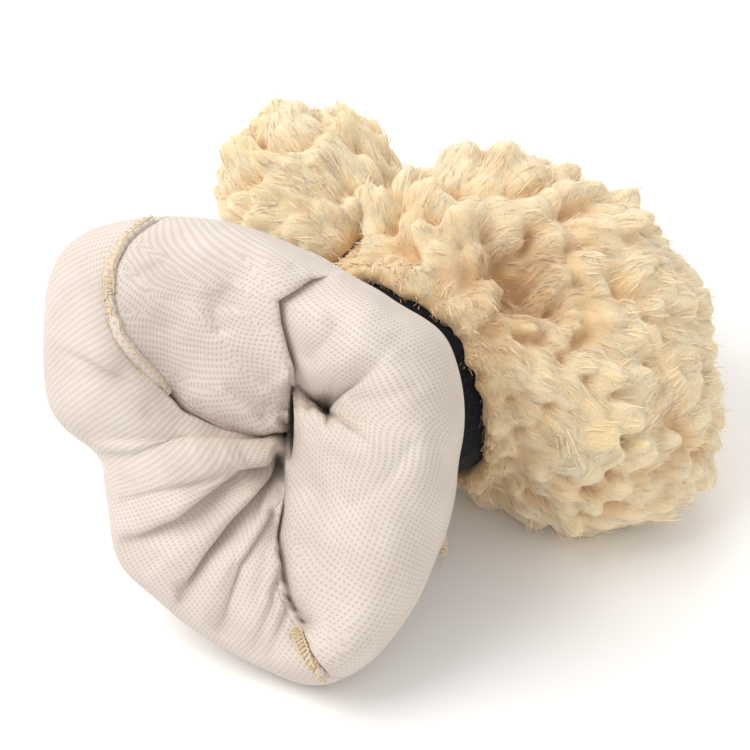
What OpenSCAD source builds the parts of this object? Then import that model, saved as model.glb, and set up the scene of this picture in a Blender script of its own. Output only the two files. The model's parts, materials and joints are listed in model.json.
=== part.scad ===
// Wash mitt: a long-pile fabric shell with a thumb, a knitted wrist cuff, and a
// non-woven liner that is pulled part of the way out and rolled over the cuff.
//
// Units are millimetres. +Z is up and the mitt lies on z = 0. +Y runs from the
// cuff to the finger end, the thumb is on -X and the rolled liner is at -Y.
// The mitt is first laid out flat in its own axes (x across the hand, y along
// it, z through its thickness, zero at the middle of the cuff), then leaned over
// by side_lean so that it rests on the palm and the little-finger edge.

/* [Resting pose] */
// Lean of the mitt towards its little-finger edge, degrees
side_lean = 25; // [20:1:28]
// Height of the cuff's centre above the floor
cuff_height = 64; // [63:1:68]

/* [Hand shell] */
// Half width of the hand, over the pile
hand_half_width = 91; // [88:1:94]
// Half thickness of the hand, over the pile
hand_half_thickness = 55; // [54:1:57]
// How far the hand sits off the cuff's axis, away from the thumb
hand_offset = 17; // [14:1:20]
// Distance from the cuff's centre to the knuckle line
knuckle_y = 66; // [64:1:68]
// Reach of the finger end beyond the knuckle line
finger_reach = 62; // [58:1:66]
// Radius of the rounded overlap under the finger end
knuckle_radius = 44; // [43:0.5:45]

/* [Cuff] */
// Outer radius of the knitted cuff, stretched by the liner
cuff_radius = 43; // [42:0.5:43]
// Length of the cuff from mouth to shell seam
cuff_length = 40; // [36:1:42]
// Thickness of one layer of the knit
knit_thickness = 1.2; // [1:0.1:1.3]

/* [Thumb] */
// Distance of the thumb's middle from the cuff's axis
thumb_out = 97; // [96:1:100]
// Distance of the thumb's middle past the cuff's centre
thumb_y = 15; // [12:1:16]
// Half length of the thumb, over the pile
thumb_half_length = 36; // [34:1:38]
// Radius of the thumb, over the pile
thumb_radius = 33; // [30:1:34]

/* [Liner roll] */
// Way the roll's face is turned, degrees from straight back
roll_turn = 50; // [45:1:52]
// Way the roll's face is tipped up, degrees
roll_tip = 42; // [38:1:44]
// Height of the roll's high lobe over its pinch
lobe_height = 46; // [40:1:48]
// Height of the roll's pleated side over its pinch
fan_height = 21; // [16:1:24]
// Radius of the way in to the hand, through the pinch
throat_radius = 14; // [12:1:15]

/* [Hidden] */

pile_colour = "#ead2a2";
knit_colour = "#17181a";
elastic_colour = "#e9e6df";
liner_colour = "#e3d7cb";
thread_colour = "#e2c88e";

// Where the part's own origin lies from the cuff's axis: the middle of its footprint.
origin_x = -11.12;
origin_y = -7.71;

across_steps = 24;              // facets across each panel
running_gap = 1;                // clearance under the finger end
finger_travel = 32;             // arc the finger end's edge can sweep, degrees
cuff_front = cuff_length * 0.45;
cuff_mouth = cuff_front - cuff_length;
shell_rear = 2;                 // rear edge of the shell, lapped over the cuff
shell_rear_radius = [56, 50];   // half width and half thickness there
shell_lap_radius = cuff_radius + 1.5;
cavity = [66, 31];              // half width and half thickness inside the hand
dome_wall = 13;
dome_width = cavity[0] + dome_wall;
finger_inner = [dome_width + running_gap, knuckle_radius + running_gap];

// ---------- small functions ----------
function clamp01(t) = max(0, min(1, t));
function mix(a, b, t) = a + (b - a) * t;
function smooth(t) = let (u = clamp01(t)) u * u * (3 - 2 * u);
function ease(a, b, y0, y1, y) = mix(a, b, smooth((y - y0) / (y1 - y0)));
function unit(v) = v / norm(v);
function flat(rows) = [for (row = rows) each row];
// Smooth closed curve through [angle, value] knots, read at an angle.
function round_table(knots, a) =
    let (n = len(knots), w = (a % 360 + 360) % 360,
         k = max([for (i = [0:n - 1]) knots[i][0] <= w ? i : 0]),
         next = (k + 1) % n, span = (knots[next][0] - knots[k][0] + 360) % 360)
    mix(knots[k][1], knots[next][1], smooth((w - knots[k][0]) / span));

// A closed solid between an outer and an inner grid of points, rows by columns.
// Triangles that shrink to a line, at a pole or a shared edge, are left out.
module thick_patch(outer, inner, flip = false) {
    rows = len(outer);
    cols = len(outer[0]);
    points = concat(flat(outer), flat(inner));
    function o(i, j) = i * cols + j;
    function n(i, j) = rows * cols + i * cols + j;
    skin = [for (i = [0:rows - 2], j = [0:cols - 2]) each [
        [o(i, j), o(i + 1, j), o(i + 1, j + 1)], [o(i, j), o(i + 1, j + 1), o(i, j + 1)],
        [n(i, j), n(i, j + 1), n(i + 1, j + 1)], [n(i, j), n(i + 1, j + 1), n(i + 1, j)]]];
    ends = [for (j = [0:cols - 2], i = rows - 1) each [
        [o(0, j), o(0, j + 1), n(0, j + 1)], [o(0, j), n(0, j + 1), n(0, j)],
        [o(i, j + 1), o(i, j), n(i, j)], [o(i, j + 1), n(i, j), n(i, j + 1)]]];
    sides = [for (i = [0:rows - 2], j = cols - 1) each [
        [o(i + 1, 0), o(i, 0), n(i, 0)], [o(i + 1, 0), n(i, 0), n(i + 1, 0)],
        [o(i, j), o(i + 1, j), n(i, j)], [o(i + 1, j), n(i + 1, j), n(i, j)]]];
    function apart(a, b) = norm(points[a] - points[b]) > 1e-6;
    kept = [for (f = concat(skin, ends, sides))
        if (apart(f[0], f[1]) && apart(f[1], f[2]) && apart(f[0], f[2]))
            flip ? [f[2], f[1], f[0]] : f];
    polyhedron(points, kept, convexity = 6);
}

// Moves the children from the mitt's own axes to where it lies.
module as_it_lies() {
    translate([-origin_x, -origin_y, cuff_height]) rotate([0, side_lean, 0]) children();
}

// Keeps what is above the floor, which presses the soft underside flat.
module above_floor() {
    intersection() {
        children();
        translate([-400, -400, 0]) cube([800, 800, 400]);
    }
}

// ---------- hand shell ----------
// One ring across a flat section at y: half width w, half thickness t, middle x0.
function section_ring(y, w, t, x0, side, lip = 0) =
    [for (j = [0:across_steps]) let (g = mix(-90 + lip, 90, j / across_steps))
        [x0 + w * sin(g), y, side * t * cos(g)]];
// One ring swung by angle b about the knuckle line, on an ellipsoid around it.
function knuckle_ring(b, w, ry, rz, side, limit = 90) =
    [for (j = [0:across_steps]) let (g = mix(-limit, limit, j / across_steps))
        [hand_offset + w * sin(g), knuckle_y + ry * cos(g) * cos(b), side * rz * cos(g) * sin(b)]];

function shell_w(y) = ease(shell_rear_radius[0], hand_half_width, shell_rear, 40, y);
function shell_t(y) = ease(shell_rear_radius[1], hand_half_thickness, shell_rear, 26, y);
function shell_x(y) = ease(0, hand_offset, shell_rear, 40, y);
// The panels part along the thumb side, just past the cuff, to leave the way in to the thumb.
function thumb_lip(y) = 24 * smooth(1.6 * (1 - abs(y - cuff_front - 3) / 11));

wall_angle = 90 + finger_travel;
rear_y = [shell_rear, 6, 10, 14, 18, 22, 28];
cavity_y = [shell_rear, 6, 10, 14, cuff_front + 0.5, 24, 32];
dome_angles = [115, 105, 95, 85, 75, 66, 58];

function hand_outer(side) = concat(
    [for (y = rear_y) section_ring(y, shell_w(y), shell_t(y), shell_x(y), side, thumb_lip(y))],
    [knuckle_ring(wall_angle, hand_half_width - 1, 57, 57, side),
     knuckle_ring(wall_angle, dome_width, knuckle_radius, knuckle_radius, side)],
    [for (b = dome_angles) knuckle_ring(b, dome_width, knuckle_radius, knuckle_radius, side)]);

function cavity_w(y) = y <= cuff_front + 0.5 ? shell_lap_radius : ease(56, cavity[0], 20, 32, y);
function cavity_t(y) = y <= cuff_front + 0.5 ? shell_lap_radius : ease(36, cavity[1], 20, 32, y);
function cavity_x(y) = ease(0, hand_offset, cuff_front, 40, y);
function hand_inner(side) = concat(
    [for (y = cavity_y) section_ring(y, cavity_w(y), cavity_t(y), cavity_x(y), side, thumb_lip(y))],
    [section_ring(40, cavity[0], cavity[1], hand_offset, side),
     section_ring(46, cavity[0], cavity[1], hand_offset, side)],
    [for (b = dome_angles) knuckle_ring(b, cavity[0], cavity[1], cavity[1], side)]);

module hand_back_pile() {
    color(pile_colour) as_it_lies() thick_patch(hand_outer(1), hand_inner(1));
}

module hand_palm_pile() {
    color(pile_colour) above_floor() as_it_lies()
        thick_patch(hand_outer(-1), hand_inner(-1), flip = true);
}

// Turned-in edges of the two pile panels, one strip inside each side of the hand.
module hand_seam_allowance() {
    allowance = 5;
    thickness = 2;
    stretch = [44, 62];
    color(pile_colour) as_it_lies() for (s = [-1, 1])
        translate([hand_offset + s * (cavity[0] - allowance / 2 - 0.5), mix(stretch[0], stretch[1], 0.5), 0])
            cube([allowance, stretch[1] - stretch[0], thickness], center = true);
}

// ---------- finger end ----------
finger_angles = [for (k = [0:9]) 90 - 10 * k];
finger_side_limit = 80;
function finger_outer(side) = [for (b = finger_angles)
    knuckle_ring(b, hand_half_width, finger_reach, hand_half_thickness, side, finger_side_limit)];
function finger_hollow(side) = [for (b = finger_angles)
    knuckle_ring(b, finger_inner[0], finger_inner[1], finger_inner[1], side, finger_side_limit)];

module finger_back_pile() {
    color(pile_colour) as_it_lies() thick_patch(finger_outer(1), finger_hollow(1));
}

module finger_palm_pile() {
    color(pile_colour) above_floor() as_it_lies()
        thick_patch(finger_outer(-1), finger_hollow(-1), flip = true);
}

// ---------- thumb ----------
thumb_wall = 14;
thumb_mouth = 23.5;             // from the thumb's middle to its open root

module thumb_half(start) {
    inner_r = thumb_radius - thumb_wall;
    inner_l = thumb_half_length - thumb_wall;
    cut = acos(thumb_mouth / thumb_half_length);
    outer_arc = [for (k = [0:14]) let (a = mix(cut, 180, k / 14))
        [thumb_radius * sin(a), thumb_half_length * cos(a)]];
    inner_arc = [for (k = [0:10]) let (a = mix(180, 90, k / 10)) [inner_r * sin(a), inner_l * cos(a)]];
    as_it_lies() translate([-thumb_out, thumb_y, 0]) rotate([0, 90, 0]) rotate([0, 0, start])
        rotate_extrude(angle = 180, $fn = 48)
            polygon(concat(outer_arc, inner_arc, [[inner_r, thumb_mouth]]));
}
module thumb_back_pile() { color(pile_colour) thumb_half(90); }
module thumb_palm_pile() { color(pile_colour) thumb_half(-90); }

// ---------- cuff ----------
module around_cuff() {
    as_it_lies() rotate([90, 0, 0]) rotate_extrude($fn = 96) children();
}
// In these profiles x is the radius and y runs from the shell seam to the mouth.
elastic_thickness = 1.4;
cuff_inner = cuff_radius - 2 * knit_thickness - elastic_thickness - 0.4;

// Knitted tube folded back on itself at the mouth, around the elastic.
module cuff_band() {
    fold = cuff_radius - cuff_inner;
    slot = elastic_thickness + 0.4;
    color(knit_colour) around_cuff() difference() {
        union() {
            translate([cuff_inner, -cuff_front]) square([fold, cuff_length - fold / 2]);
            translate([cuff_inner + fold / 2, -cuff_mouth - fold / 2]) circle(d = fold, $fn = 32);
        }
        translate([cuff_inner + knit_thickness, -cuff_front - 1])
            square([slot, cuff_length - fold + 1]);
    }
}

// Woven elastic band held inside the fold.
module cuff_elastic() {
    length = cuff_length - 8;
    color(elastic_colour) around_cuff()
        translate([cuff_inner + knit_thickness + 0.2, -cuff_front + 1]) square([elastic_thickness, length]);
}

module stitch_ring(radius, y, thread) {
    as_it_lies() translate([0, y, 0]) rotate([90, 0, 0])
        rotate_extrude($fn = 96) translate([radius, 0]) circle(r = thread, $fn = 16);
}
// Thread that holds the shell's rear edge on the cuff.
module cuff_shell_stitch() {
    color(thread_colour) stitch_ring(cuff_radius + 0.7, cuff_front - 3, 0.5);
}
// Thread that holds the liner inside the mouth of the cuff.
module cuff_mouth_stitch() {
    color(thread_colour) stitch_ring(cuff_inner - 0.7, cuff_mouth + 5, 0.7);
}

// ---------- liner pocket, still inside the hand ----------
cloth = 3;                      // soft solid's stand-in thickness for the puffed cloth
pocket_half = [58, 28];
pocket_reach = 38;              // past the knuckle line
pocket_start = 24;
pocket_angles = [100, 80, 60, 40, 20, 0];
function pocket_grid(side, inset) = concat(
    [for (y = [pocket_start, 28, 32, 38, 44, 52])
        section_ring(y, ease(36, pocket_half[0], pocket_start, 36, y) - inset,
                     ease(30, pocket_half[1], pocket_start, 36, y) - inset,
                     ease(4, hand_offset, pocket_start, 40, y), side)],
    [for (b = pocket_angles)
        knuckle_ring(b, pocket_half[0] - inset, pocket_reach - inset, pocket_half[1] - inset, side)]);

module pocket_back_panel() {
    color(liner_colour) as_it_lies() thick_patch(pocket_grid(1, 0), pocket_grid(1, cloth));
}
module pocket_palm_panel() {
    color(liner_colour) as_it_lies()
        thick_patch(pocket_grid(-1, 0), pocket_grid(-1, cloth), flip = true);
}

// ---------- liner roll ----------
// Axes of the roll's face: p to its right, q up it, h out of it.
roll_p = [cos(roll_turn), sin(roll_turn), 0];
roll_q = [-sin(roll_turn) * sin(roll_tip), cos(roll_turn) * sin(roll_tip), cos(roll_tip)];
roll_h = [sin(roll_turn) * cos(roll_tip), -cos(roll_turn) * cos(roll_tip), sin(roll_tip)];
cuff_centre = [-origin_x, -origin_y, cuff_height];
pinch = cuff_centre + [0, -67, 12];

// Radius of the roll's outline around the pinch, by angle round the face.
outline = [[0, 70], [66, 64], [95, 74], [140, 114], [165, 99], [190, 77],
           [225, 88], [278, 104], [310, 82], [340, 70]];
function on_face(a, rho, h) =
    pinch + rho * cos(a) * roll_p + rho * sin(a) * roll_q + h * roll_h;
// Share of the high lobe at an angle round the face, 1 on the lobe and 0 on the fan of pleats.
function lobe_share(a) = smooth((1 + cos(a - 20)) / 2);
function face_height(a) = mix(fan_height, lobe_height, lobe_share(a));
function rim_height(a) = 12 + 10 * cos(a - 50);
function back_depth(a) = 21 - 9 * cos(a - 50);

// A point of the front of the roll, from t = 0 at the pinch to t = 1 at the rim.
function front_point(a, t, lift = 0) =
    let (rho = mix(throat_radius + 2, round_table(outline, a), t),
         rise = mix(1.5, 0.85, lobe_share(a)),
         up = face_height(a) * pow(sin(180 * pow(t, rise)), 0.8) + rim_height(a) * smooth(t))
    on_face(a, rho, max(up, 0) + lift);
// A point of the back of the roll, from t = 0 inside to t = 1 at the rim.
function back_point(a, t) =
    let (rho = mix(0.55, 1, t) * round_table(outline, a))
    on_face(a, rho, rim_height(a) - back_depth(a) * sqrt(max(0, 1 - t * t)));
// A point of a ring about the cuff's axis, at the same angle round the roll.
function ring_point(a, y, r, lift = 0) =
    let (d = cos(a) * roll_p + sin(a) * roll_q, w = unit([d[0], 0, d[2]]))
    cuff_centre + r * w + [0, y, lift];

// The two seams wander from the rim to the pinch; row 0 is at the cuff.
front_t = [0, 0.08, 0.18, 0.3, 0.42, 0.54, 0.66, 0.78, 0.9, 1];
back_t = [0, 0.12, 0.25, 0.4, 0.55, 0.68, 0.8, 0.9, 0.97, 1];
function thumb_seam(t) = ease(168, 121, 0.35, 1, t);
function little_seam(t) = ease(256, 284, 0, 1, t);
neck_y = [14, -10, cuff_mouth - 3, cuff_mouth - 8];
neck_r = [30, 30, 31, 33];
throat_y = [14, -10, -30, -52];
throat_lift = [2, 4, 8, 12];

function liner_front(span) = concat(
    [for (k = [0:3]) [for (s = span) let (a = mix(little_seam(0) - 360 * s[0], thumb_seam(0), s[1]))
        ring_point(a, throat_y[k], throat_radius, throat_lift[k])]],
    [for (t = front_t) [for (s = span) let (a = mix(little_seam(t) - 360 * s[0], thumb_seam(t), s[1]))
        front_point(a, t)]]);
function liner_rear(span) = concat(
    [for (k = [0:3]) [for (s = span) let (a = mix(little_seam(0) - 360 * s[0], thumb_seam(0), s[1]))
        ring_point(a, neck_y[k], neck_r[k])]],
    [for (k = [0:len(back_t) - 1]) [for (s = span)
        let (a = mix(little_seam(front_t[k]) - 360 * s[0], thumb_seam(front_t[k]), s[1]))
        back_point(a, back_t[k])]]);
// Each panel is a span of [turn back by a whole turn, share of the way to the thumb seam].
back_span = [for (j = [0:26]) [1, j / 26]];
palm_span = [for (j = [0:18]) [0, 1 - j / 18]];

module liner_back_panel() {
    color(liner_colour) above_floor() thick_patch(liner_front(back_span), liner_rear(back_span), flip = true);
}
module liner_palm_panel() {
    color(liner_colour) above_floor() thick_patch(liner_front(palm_span), liner_rear(palm_span), flip = true);
}

// A strip standing on the front of the roll along a seam, between two heights.
module seam_strip(from_t, to_t, half_width, low, high, seam) {
    steps = 14;
    function at(t, s, lift) =
        let (a = seam == "thumb" ? thumb_seam(t) : little_seam(t),
             rho = mix(throat_radius + 2, round_table(outline, a), t))
        front_point(a + s * half_width / rho * 180 / PI, t, lift);
    function grid(lift) = [for (k = [0:steps]) [for (s = [-1, 1]) at(mix(from_t, to_t, k / steps), s, lift)]];
    thick_patch(grid(high), grid(low), flip = true);
}
module liner_seam_thumb_side() {
    color(liner_colour) seam_strip(0.45, 0.98, 1.6, 0.2, 2.6, "thumb");
}
module liner_seam_little_side() {
    color(liner_colour) seam_strip(0.62, 0.98, 1.6, 0.2, 2.6, "little");
}
module overlock_thread_thumb_side() {
    color(thread_colour) seam_strip(0.46, 0.97, 0.9, 2.9, 3.7, "thumb");
}
module overlock_thread_little_side() {
    color(thread_colour) seam_strip(0.63, 0.97, 0.9, 2.9, 3.7, "little");
}

// Loose end of the seam thread and its rolled cloth, hanging under the cuff.
module liner_seam_tail() {
    radius = 2.2;
    route = [[27.8, cuff_mouth + 4, -37], [38, cuff_mouth + 3, -45], [42, cuff_mouth, -55]];
    color(thread_colour) for (k = [0:1]) hull() for (p = [route[k], route[k + 1]])
        translate(cuff_centre + p) sphere(r = radius, $fn = 20);
}

hand_back_pile();
hand_palm_pile();
hand_seam_allowance();
finger_back_pile();
finger_palm_pile();
thumb_back_pile();
thumb_palm_pile();
cuff_band();
cuff_elastic();
cuff_shell_stitch();
cuff_mouth_stitch();
pocket_back_panel();
pocket_palm_panel();
liner_back_panel();
liner_palm_panel();
liner_seam_thumb_side();
liner_seam_little_side();
overlock_thread_thumb_side();
overlock_thread_little_side();
liner_seam_tail();
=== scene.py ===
"""Wash mitt: pile shell with a thumb, knitted cuff and a rolled-out non-woven liner.

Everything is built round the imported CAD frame, in metres: +Z up, +Y from the cuff to the
finger end, thumb on -X, liner at -Y. Lengths below are written in millimetres and scaled by MM.
"""

import json
import math

import bpy
import numpy as np
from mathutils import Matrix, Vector
from mathutils.kdtree import KDTree


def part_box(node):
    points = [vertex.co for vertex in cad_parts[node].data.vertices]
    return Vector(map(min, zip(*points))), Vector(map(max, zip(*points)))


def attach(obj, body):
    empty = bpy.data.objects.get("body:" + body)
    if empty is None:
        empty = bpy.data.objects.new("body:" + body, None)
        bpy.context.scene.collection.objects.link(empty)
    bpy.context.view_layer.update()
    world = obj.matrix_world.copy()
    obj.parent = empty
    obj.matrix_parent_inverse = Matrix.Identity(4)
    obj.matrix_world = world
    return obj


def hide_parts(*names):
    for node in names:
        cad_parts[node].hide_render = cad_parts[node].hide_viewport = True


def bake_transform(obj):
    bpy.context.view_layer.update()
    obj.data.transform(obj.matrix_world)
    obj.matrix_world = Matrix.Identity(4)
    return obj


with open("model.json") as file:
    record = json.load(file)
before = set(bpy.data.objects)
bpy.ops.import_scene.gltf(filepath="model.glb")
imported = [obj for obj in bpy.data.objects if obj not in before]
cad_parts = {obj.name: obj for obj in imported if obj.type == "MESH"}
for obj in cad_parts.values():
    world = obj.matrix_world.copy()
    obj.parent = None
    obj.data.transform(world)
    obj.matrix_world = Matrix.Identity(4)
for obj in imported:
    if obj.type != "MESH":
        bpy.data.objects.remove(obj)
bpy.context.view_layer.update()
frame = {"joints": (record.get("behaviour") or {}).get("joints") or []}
MM = 0.001
JOINTS = {j["name"]: j for j in frame["joints"]}

# ---------------------------------------------------------------- the mitt's own axes
CUFF = np.array(JOINTS["liner_flop"]["pos_m"])  # middle of the cuff
WIDE = np.array(JOINTS["finger_flex"]["axis"])  # across the hand, away from the thumb
LONG = np.array([0.0, 1.0, 0.0])  # cuff to finger end
THICK = np.cross(WIDE, LONG)  # palm to back of hand
THICK /= np.linalg.norm(THICK)
KNUCKLE_Y = (JOINTS["finger_flex"]["pos_m"][1] - CUFF[1]) / MM
HAND_X = float((np.array(JOINTS["finger_flex"]["pos_m"]) - CUFF) @ WIDE) / MM
cuff_low, cuff_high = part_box("cuff_band")
CUFF_RADIUS = (cuff_high.x - cuff_low.x) / 2 / MM
CUFF_FRONT = (cuff_high.y - CUFF[1]) / MM
CUFF_MOUTH = (cuff_low.y - CUFF[1]) / MM

# ---------------------------------------------------------------- the roll's face axes
ROLL_TURN, ROLL_TIP = math.radians(50), math.radians(42)
FACE_P = np.array([math.cos(ROLL_TURN), math.sin(ROLL_TURN), 0])
FACE_Q = np.array([
    -math.sin(ROLL_TURN) * math.sin(ROLL_TIP),
    math.cos(ROLL_TURN) * math.sin(ROLL_TIP),
    math.cos(ROLL_TIP),
])
FACE_H = np.cross(FACE_P, FACE_Q)
PINCH = CUFF + np.array([0, -67, 12]) * MM


def mitt(x, y, z):
    """Points of the mitt's own axes (mm) in the frame (m)."""
    x, y, z = np.broadcast_arrays(x, y, z)
    return CUFF + MM * (x[..., None] * WIDE + y[..., None] * LONG + z[..., None] * THICK)


TAPER_MIDDLE = (34.5, 20.0)  # the roll narrows a little towards its face, about this point
TAPER_REACH, TAPER_FROM = 1150.0, 40.0


def on_face(p, q, h):
    """Points of the roll's face axes (mm) in the frame (m)."""
    p, q, h = np.broadcast_arrays(p, q, h)
    shrink = (TAPER_REACH - TAPER_FROM - h) / TAPER_REACH
    p = TAPER_MIDDLE[0] + (p - TAPER_MIDDLE[0]) * shrink
    q = TAPER_MIDDLE[1] + (q - TAPER_MIDDLE[1]) * shrink
    return PINCH + MM * (p[..., None] * FACE_P + q[..., None] * FACE_Q + h[..., None] * FACE_H)


# ---------------------------------------------------------------- small helpers
def smooth(t):
    t = np.clip(t, 0, 1)
    return t * t * (3 - 2 * t)


def ease(a, b, y0, y1, y):
    return a + (b - a) * smooth((y - y0) / (y1 - y0))


def unit(v):
    return v / np.maximum(np.linalg.norm(v, axis=-1, keepdims=True), 1e-12)


def value_noise(points, size, seed, channels=1):
    """Smooth noise in -1..1 at points (m), with features about size (m) across."""
    g = np.random.default_rng(seed)
    table = g.uniform(-1, 1, (32, 32, 32, channels))
    x = points / size + 1000.0
    cell = np.floor(x).astype(int)
    f = x - cell
    f = f * f * (3 - 2 * f)
    out = 0
    for corner in range(8):
        step = np.array([corner & 1, corner >> 1 & 1, corner >> 2 & 1])
        weight = np.prod(np.where(step, f, 1 - f), axis=-1)
        idx = (cell + step) % 32
        out = out + weight[..., None] * table[idx[..., 0], idx[..., 1], idx[..., 2]]
    return out[..., 0] if channels == 1 else out


def mesh_object(name, verts, faces, smooth_shading=True):
    """A mesh from an (n, 3) array and a list of (m, k) face arrays."""
    me = bpy.data.meshes.new(name)
    verts = np.asarray(verts, np.float32)
    groups = [np.asarray(f, np.int32) for f in (faces if isinstance(faces, list) else [faces]) if len(f)]
    me.vertices.add(len(verts))
    me.vertices.foreach_set("co", verts.ravel())
    loops = np.concatenate([g.ravel() for g in groups])
    counts = np.concatenate([np.full(len(g), g.shape[1], np.int32) for g in groups])
    me.loops.add(len(loops))
    me.loops.foreach_set("vertex_index", loops)
    me.polygons.add(len(counts))
    starts = np.concatenate([[0], np.cumsum(counts)[:-1]]).astype(np.int32)
    me.polygons.foreach_set("loop_start", starts)
    me.polygons.foreach_set("loop_total", counts)
    me.polygons.foreach_set("use_smooth", np.full(len(counts), smooth_shading))
    me.update(calc_edges=True)
    me.validate()
    obj = bpy.data.objects.new(name, me)
    bpy.context.scene.collection.objects.link(obj)
    return obj


def point_attribute(obj, name, values):
    attribute = obj.data.attributes.new(name, "FLOAT", "POINT")
    attribute.data.foreach_set("value", np.asarray(values, np.float32))


def grid_faces(rows, cols, wrap=False):
    """Quads of a rows-by-cols grid of vertices; wrap joins the last column to the first."""
    i, j = np.meshgrid(np.arange(rows - 1), np.arange(cols if wrap else cols - 1), indexing="ij")
    k = (j + 1) % cols
    return np.stack([i * cols + j, i * cols + k, (i + 1) * cols + k, (i + 1) * cols + j], -1).reshape(-1, 4)


# ---------------------------------------------------------------- materials
class Nodes:
    """Shorthand for building a Principled material."""

    def __init__(self, name):
        self.material = bpy.data.materials.new(name)
        self.material.use_nodes = True
        self.tree = self.material.node_tree
        self.shader = self.tree.nodes["Principled BSDF"]

    def add(self, kind, inputs=None, **settings):
        node = self.tree.nodes.new(kind)
        for key, value in settings.items():
            setattr(node, key, value)
        for key, value in (inputs or {}).items():
            self.feed(node.inputs[key], value)
        return node

    def feed(self, socket, value):
        if isinstance(value, bpy.types.NodeSocket):
            self.tree.links.new(value, socket)
        else:
            socket.default_value = value

    def maths(self, operation, a, b=0.0, clamp=False):
        node = self.add("ShaderNodeMath", operation=operation, use_clamp=clamp)
        self.feed(node.inputs[0], a)
        self.feed(node.inputs[1], b)
        return node.outputs[0]

    def mix_colour(self, factor, a, b):
        node = self.add("ShaderNodeMix", data_type="RGBA", clamp_factor=True)
        self.feed(node.inputs[0], factor)
        self.feed(node.inputs[6], a)
        self.feed(node.inputs[7], b)
        return node.outputs[2]

    def attribute(self, name):
        return self.add("ShaderNodeAttribute", attribute_name=name).outputs["Fac"]

    def ramp(self, factor, low, high):
        node = self.add("ShaderNodeMapRange", clamp=True)
        self.feed(node.inputs[0], factor)
        node.inputs[1].default_value, node.inputs[2].default_value = low, high
        return node.outputs[0]

    def bump(self, height, strength, distance):
        node = self.add("ShaderNodeBump", {"Strength": strength, "Distance": distance, "Height": height})
        self.feed(self.shader.inputs["Normal"], node.outputs[0])

    def set(self, **values):
        for key, value in values.items():
            self.feed(self.shader.inputs[key.replace("_", " ")], value)
        return self.material


def rgba(r, g, b):
    return (r, g, b, 1.0)


def pile_material(name, tip_tones, shaded_root_tones, fibre):
    """Cream pile with a fine woolly grain, pale at the tips; painted shade makes it warm and darker at the
    roots, between the tufts, and brown in the dimple.
    """
    m = Nodes(name)
    depth, tint, streak = m.attribute("depth"), m.attribute("tint"), m.attribute("streak")
    where = m.add("ShaderNodeNewGeometry").outputs["Position"]
    grain = m.add("ShaderNodeTexNoise", {"Vector": where, "Scale": 1000.0, "Detail": 3.0, "Roughness": 0.6})
    strands = grain.outputs[0]
    tip = m.mix_colour(tint, *(rgba(*c) for c in tip_tones))
    # Painted shade: darker, warmer tones low in the pile, between the tufts, fading to the tip colour up the
    # pile.
    root = m.mix_colour(tint, *(rgba(*c) for c in shaded_root_tones))
    colour = m.mix_colour(m.ramp(depth, 0.0, 0.8), root, tip)
    lines = m.ramp(strands, 0.4, 0.62) if not fibre else streak
    colour = m.mix_colour(m.maths("MULTIPLY", lines, 0.3), colour, rgba(0.70, 0.47, 0.25))
    # Painted shade in the dimple: the pile is mixed towards brown where it sinks into the dent.
    dimple_shade = m.maths("MULTIPLY", m.attribute("dimple"), 1.0, clamp=True)
    colour = m.mix_colour(dimple_shade, colour, rgba(0.55, 0.33, 0.16))
    m.set(Base_Color=colour, Roughness=0.95, Sheen_Weight=0.45, Sheen_Roughness=0.6)
    m.set(Specular_IOR_Level=0.1, Sheen_Tint=rgba(1.0, 0.93, 0.78))
    if not fibre:
        m.bump(strands, 0.8, 0.0009)
        m.set(Subsurface_Weight=0.6, Subsurface_Scale=0.006)
        m.shader.inputs["Subsurface Radius"].default_value = (1.0, 0.8, 0.55)
    return m.material


# Each pile gets pale tip tones and darker root tones; the root tones are painted shade between the tufts.
PILE = pile_material("pile", ((0.875, 0.73, 0.505), (0.845, 0.68, 0.43)),
                     ((0.73, 0.48, 0.25), (0.69, 0.43, 0.21)), False)
PILE_FIBRE = pile_material("pile_fibre", ((0.88, 0.75, 0.54), (0.86, 0.70, 0.47)),
                           ((0.76, 0.52, 0.29), (0.72, 0.46, 0.24)), True)

# ---------------------------------------------------------------- pile: surfaces it grows on
HAND_WIDTH, HAND_DEPTH = 74.0, 45.5  # half sizes of the fabric under the pile
FINGER_REACH = 44.0
REAR_Y = 1.0
THUMB_SIDE_REACH = 8.0  # how much nearer the mouth the pile starts beside the thumb
DIMPLE_ACROSS, DIMPLE_ALONG, DIMPLE_RADIUS, DIMPLE_DEPTH = 2.0, 32.0, 22.0, 13.0
HAND_MIDDLE = mitt(HAND_X, 55.0, 0.0)
GROUND_SOFTENS = 0.011  # below this height (m) the skin is pressed towards the ground


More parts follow.
